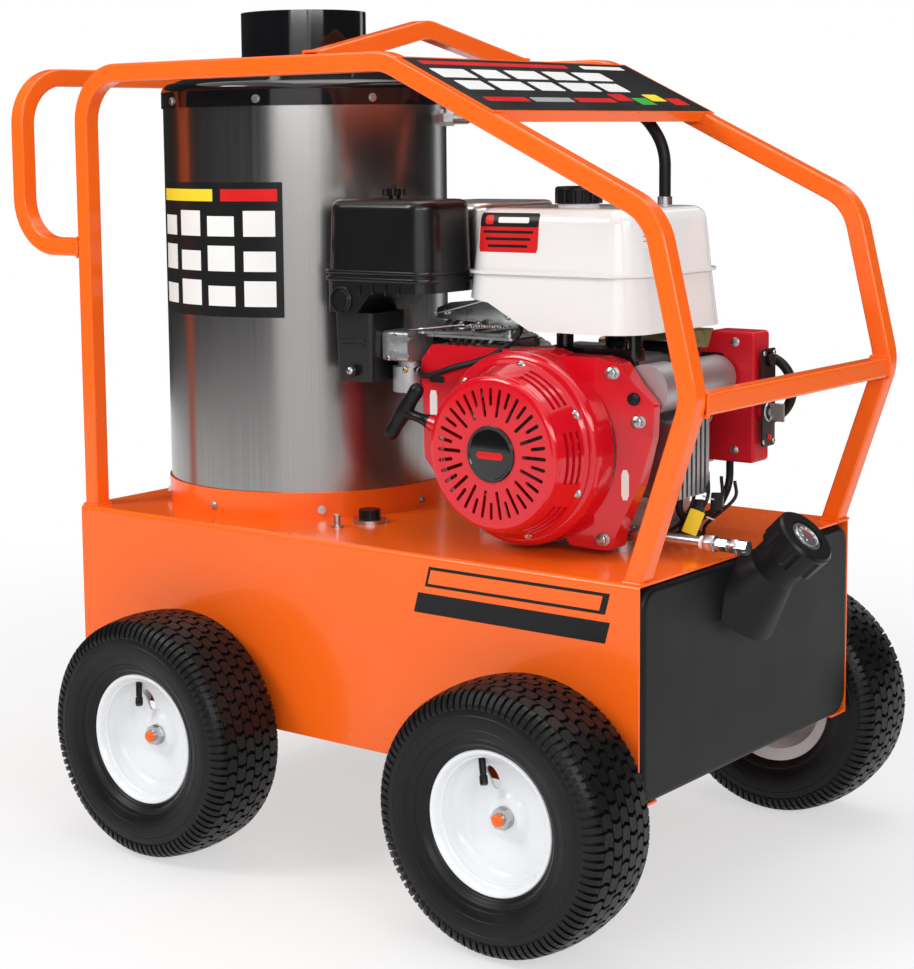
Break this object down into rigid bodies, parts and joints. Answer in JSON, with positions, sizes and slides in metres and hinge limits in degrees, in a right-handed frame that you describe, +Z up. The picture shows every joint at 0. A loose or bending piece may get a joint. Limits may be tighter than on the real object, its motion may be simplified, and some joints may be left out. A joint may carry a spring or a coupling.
{
  "type": "hot-water pressure washer",
  "caption": "Portable hot-water pressure washer: engine-driven pump, vertical boiler and fuel tank on a wheeled sheet-metal chassis with a bent-tube cage.",
  "frame": {"origin": "on the floor, at the middle of the overall box", "axes": "+X towards the fuel-tank end, +Y away from the recoil starter, +Z up"},
  "size_m": [1.1986, 0.81, 1.153],
  "materials": {
    "orange_paint": "gloss powder coat",
    "tyre_rubber": "matt moulded",
    "rim_white": "gloss enamel",
    "zinc": "bright zinc plate",
    "stainless": "vertical brushed",
    "black_gloss": "gloss enamel",
    "pe_tank": "moulded polyethylene",
    "black_plastic": "satin moulded",
    "red_gloss": "gloss enamel",
    "red_plastic": "satin moulded",
    "cast_alloy": "as cast",
    "white_gloss": "gloss enamel",
    "steel": "machined",
    "iron": "as cast",
    "pump_brass": "machined",
    "hose_rubber": "ribbed matt",
    "gauge_glass": "clear",
    "galvanised": "satin"
  },
  "bodies": {
    "machine": {"air_cleaner_base": "black_plastic", "axle_nuts": "zinc", "axle_saddles": "orange_paint", "axles": "steel", "boiler_base_ring": "orange_paint", "boiler_cap": "black_gloss", "boiler_screws": "zinc", "boiler_shell": "stainless", "burner": "iron", "cage_cross_members": "orange_paint", "cage_far": "orange_paint", "cage_near": "orange_paint", "carburettor": "cast_alloy", "chassis_box": "orange_paint", "control_box": "red_plastic", "control_plate": "zinc", "crankcase": "cast_alloy", "cylinder_head": "cast_alloy", "dial_base": "zinc", "drain_pipe": "zinc", "engine_bolts": "zinc", "engine_lines": "hose_rubber", "engine_tank": "white_gloss", "fan_shroud": "red_gloss", "fin_block": "galvanised", "flue_stack": "black_gloss", "fuel_tank": "pe_tank", "heating_coil": "steel", "hose_fittings": "zinc", "muffler": "steel", "pressure_hose": "hose_rubber", "pump_body": "cast_alloy", "pump_head": "pump_brass", "rear_handle": "orange_paint", "recoil_cover": "red_gloss", "sign_panel": "orange_paint", "starter_motor": "cast_alloy", "tank_brackets": "black_gloss"},
    "fuel_cap_body": {"fuel_cap": "black_plastic", "fuel_gauge": "gauge_glass"},
    "engine_tank_cap_body": {"engine_tank_cap": "black_plastic"},
    "recoil_grip_body": {"recoil_grip": "black_plastic"},
    "crank_body": {"crankshaft": "steel", "flywheel_fan": "iron"},
    "choke_body": {"choke_lever": "zinc"},
    "fuel_tap_body": {"fuel_tap_lever": "zinc"},
    "throttle_body": {"throttle_lever": "zinc"},
    "key_body": {"ignition_key": "steel"},
    "cleaner_cover_body": {"air_cleaner_cover": "black_plastic"},
    "cleaner_knob_body": {"air_cleaner_knob": "zinc"},
    "unloader_knob_body": {"unloader_knob": "black_plastic"},
    "dial_knob_body": {"dial_knob": "black_plastic"},
    "wheel_front_near": {"tyre_front_near": "tyre_rubber", "rim_front_near": "rim_white"},
    "wheel_front_far": {"tyre_front_far": "tyre_rubber", "rim_front_far": "rim_white"},
    "wheel_rear_near": {"tyre_rear_near": "tyre_rubber", "rim_rear_near": "rim_white"},
    "wheel_rear_far": {"tyre_rear_far": "tyre_rubber", "rim_rear_far": "rim_white"}
  },
  "joints": [
    {"name": "wheel_front_near_spin", "type": "hinge", "parent": "machine", "child": "wheel_front_near", "pos_m": [0.35469, -0.3425, 0.167], "axis": [0, 1, 0], "continuous": true},
    {"name": "wheel_front_far_spin", "type": "hinge", "parent": "machine", "child": "wheel_front_far", "pos_m": [0.35469, 0.3425, 0.167], "axis": [0, 1, 0], "continuous": true},
    {"name": "wheel_rear_near_spin", "type": "hinge", "parent": "machine", "child": "wheel_rear_near", "pos_m": [-0.22831, -0.3425, 0.167], "axis": [0, 1, 0], "continuous": true},
    {"name": "wheel_rear_far_spin", "type": "hinge", "parent": "machine", "child": "wheel_rear_far", "pos_m": [-0.22831, 0.3425, 0.167], "axis": [0, 1, 0], "continuous": true},
    {"name": "fuel_cap_turn", "type": "hinge", "parent": "machine", "child": "fuel_cap_body", "pos_m": [0.54769, -0.022, 0.454], "axis": [0.7071, 0, 0.7071], "range_deg": [0, 450]},
    {"name": "engine_tank_cap_turn", "type": "hinge", "parent": "machine", "child": "engine_tank_cap_body", "pos_m": [0.24169, -0.028, 0.88], "axis": [0, 0, 1], "range_deg": [0, 90]},
    {"name": "recoil_pull", "type": "slide", "parent": "machine", "child": "recoil_grip_body", "axis": [-0.2999, -0.7998, 0.5199], "range_m": [0, 0.75]},
    {"name": "crank_spin", "type": "hinge", "parent": "machine", "child": "crank_body", "pos_m": [0.24969, 0, 0.58], "axis": [0, 1, 0], "continuous": true},
    {"name": "choke_turn", "type": "hinge", "parent": "machine", "child": "choke_body", "pos_m": [0.04369, -0.1683, 0.709], "axis": [0, 1, 0], "range_deg": [-55, 0]},
    {"name": "fuel_tap_turn", "type": "hinge", "parent": "machine", "child": "fuel_tap_body", "pos_m": [0.04369, -0.1683, 0.687], "axis": [0, 1, 0], "range_deg": [0, 70]},
    {"name": "throttle_turn", "type": "hinge", "parent": "machine", "child": "throttle_body", "pos_m": [0.19969, -0.125, 0.712], "axis": [0, 0, 1], "range_deg": [0, 25]},
    {"name": "key_turn", "type": "hinge", "parent": "machine", "child": "key_body", "pos_m": [0.45449, 0.093, 0.612], "axis": [1, 0, 0], "range_deg": [-90, 45]},
    {"name": "cleaner_cover_lift", "type": "slide", "parent": "machine", "child": "cleaner_cover_body", "axis": [0, 0, 1], "range_m": [0, 0.11]},
    {"name": "cleaner_knob_turn", "type": "hinge", "parent": "cleaner_cover_body", "child": "cleaner_knob_body", "pos_m": [0.02069, -0.1365, 0.891], "axis": [0, 0, 1], "range_deg": [0, 720]},
    {"name": "unloader_turn", "type": "hinge", "parent": "machine", "child": "unloader_knob_body", "pos_m": [0.17269, 0.1675, 0.67], "axis": [0, 0, 1], "range_deg": [-360, 360]},
    {"name": "dial_turn", "type": "hinge", "parent": "machine", "child": "dial_knob_body", "pos_m": [-0.03331, -0.132, 0.448], "axis": [0, 0, 1], "range_deg": [0, 270]}
  ]
}
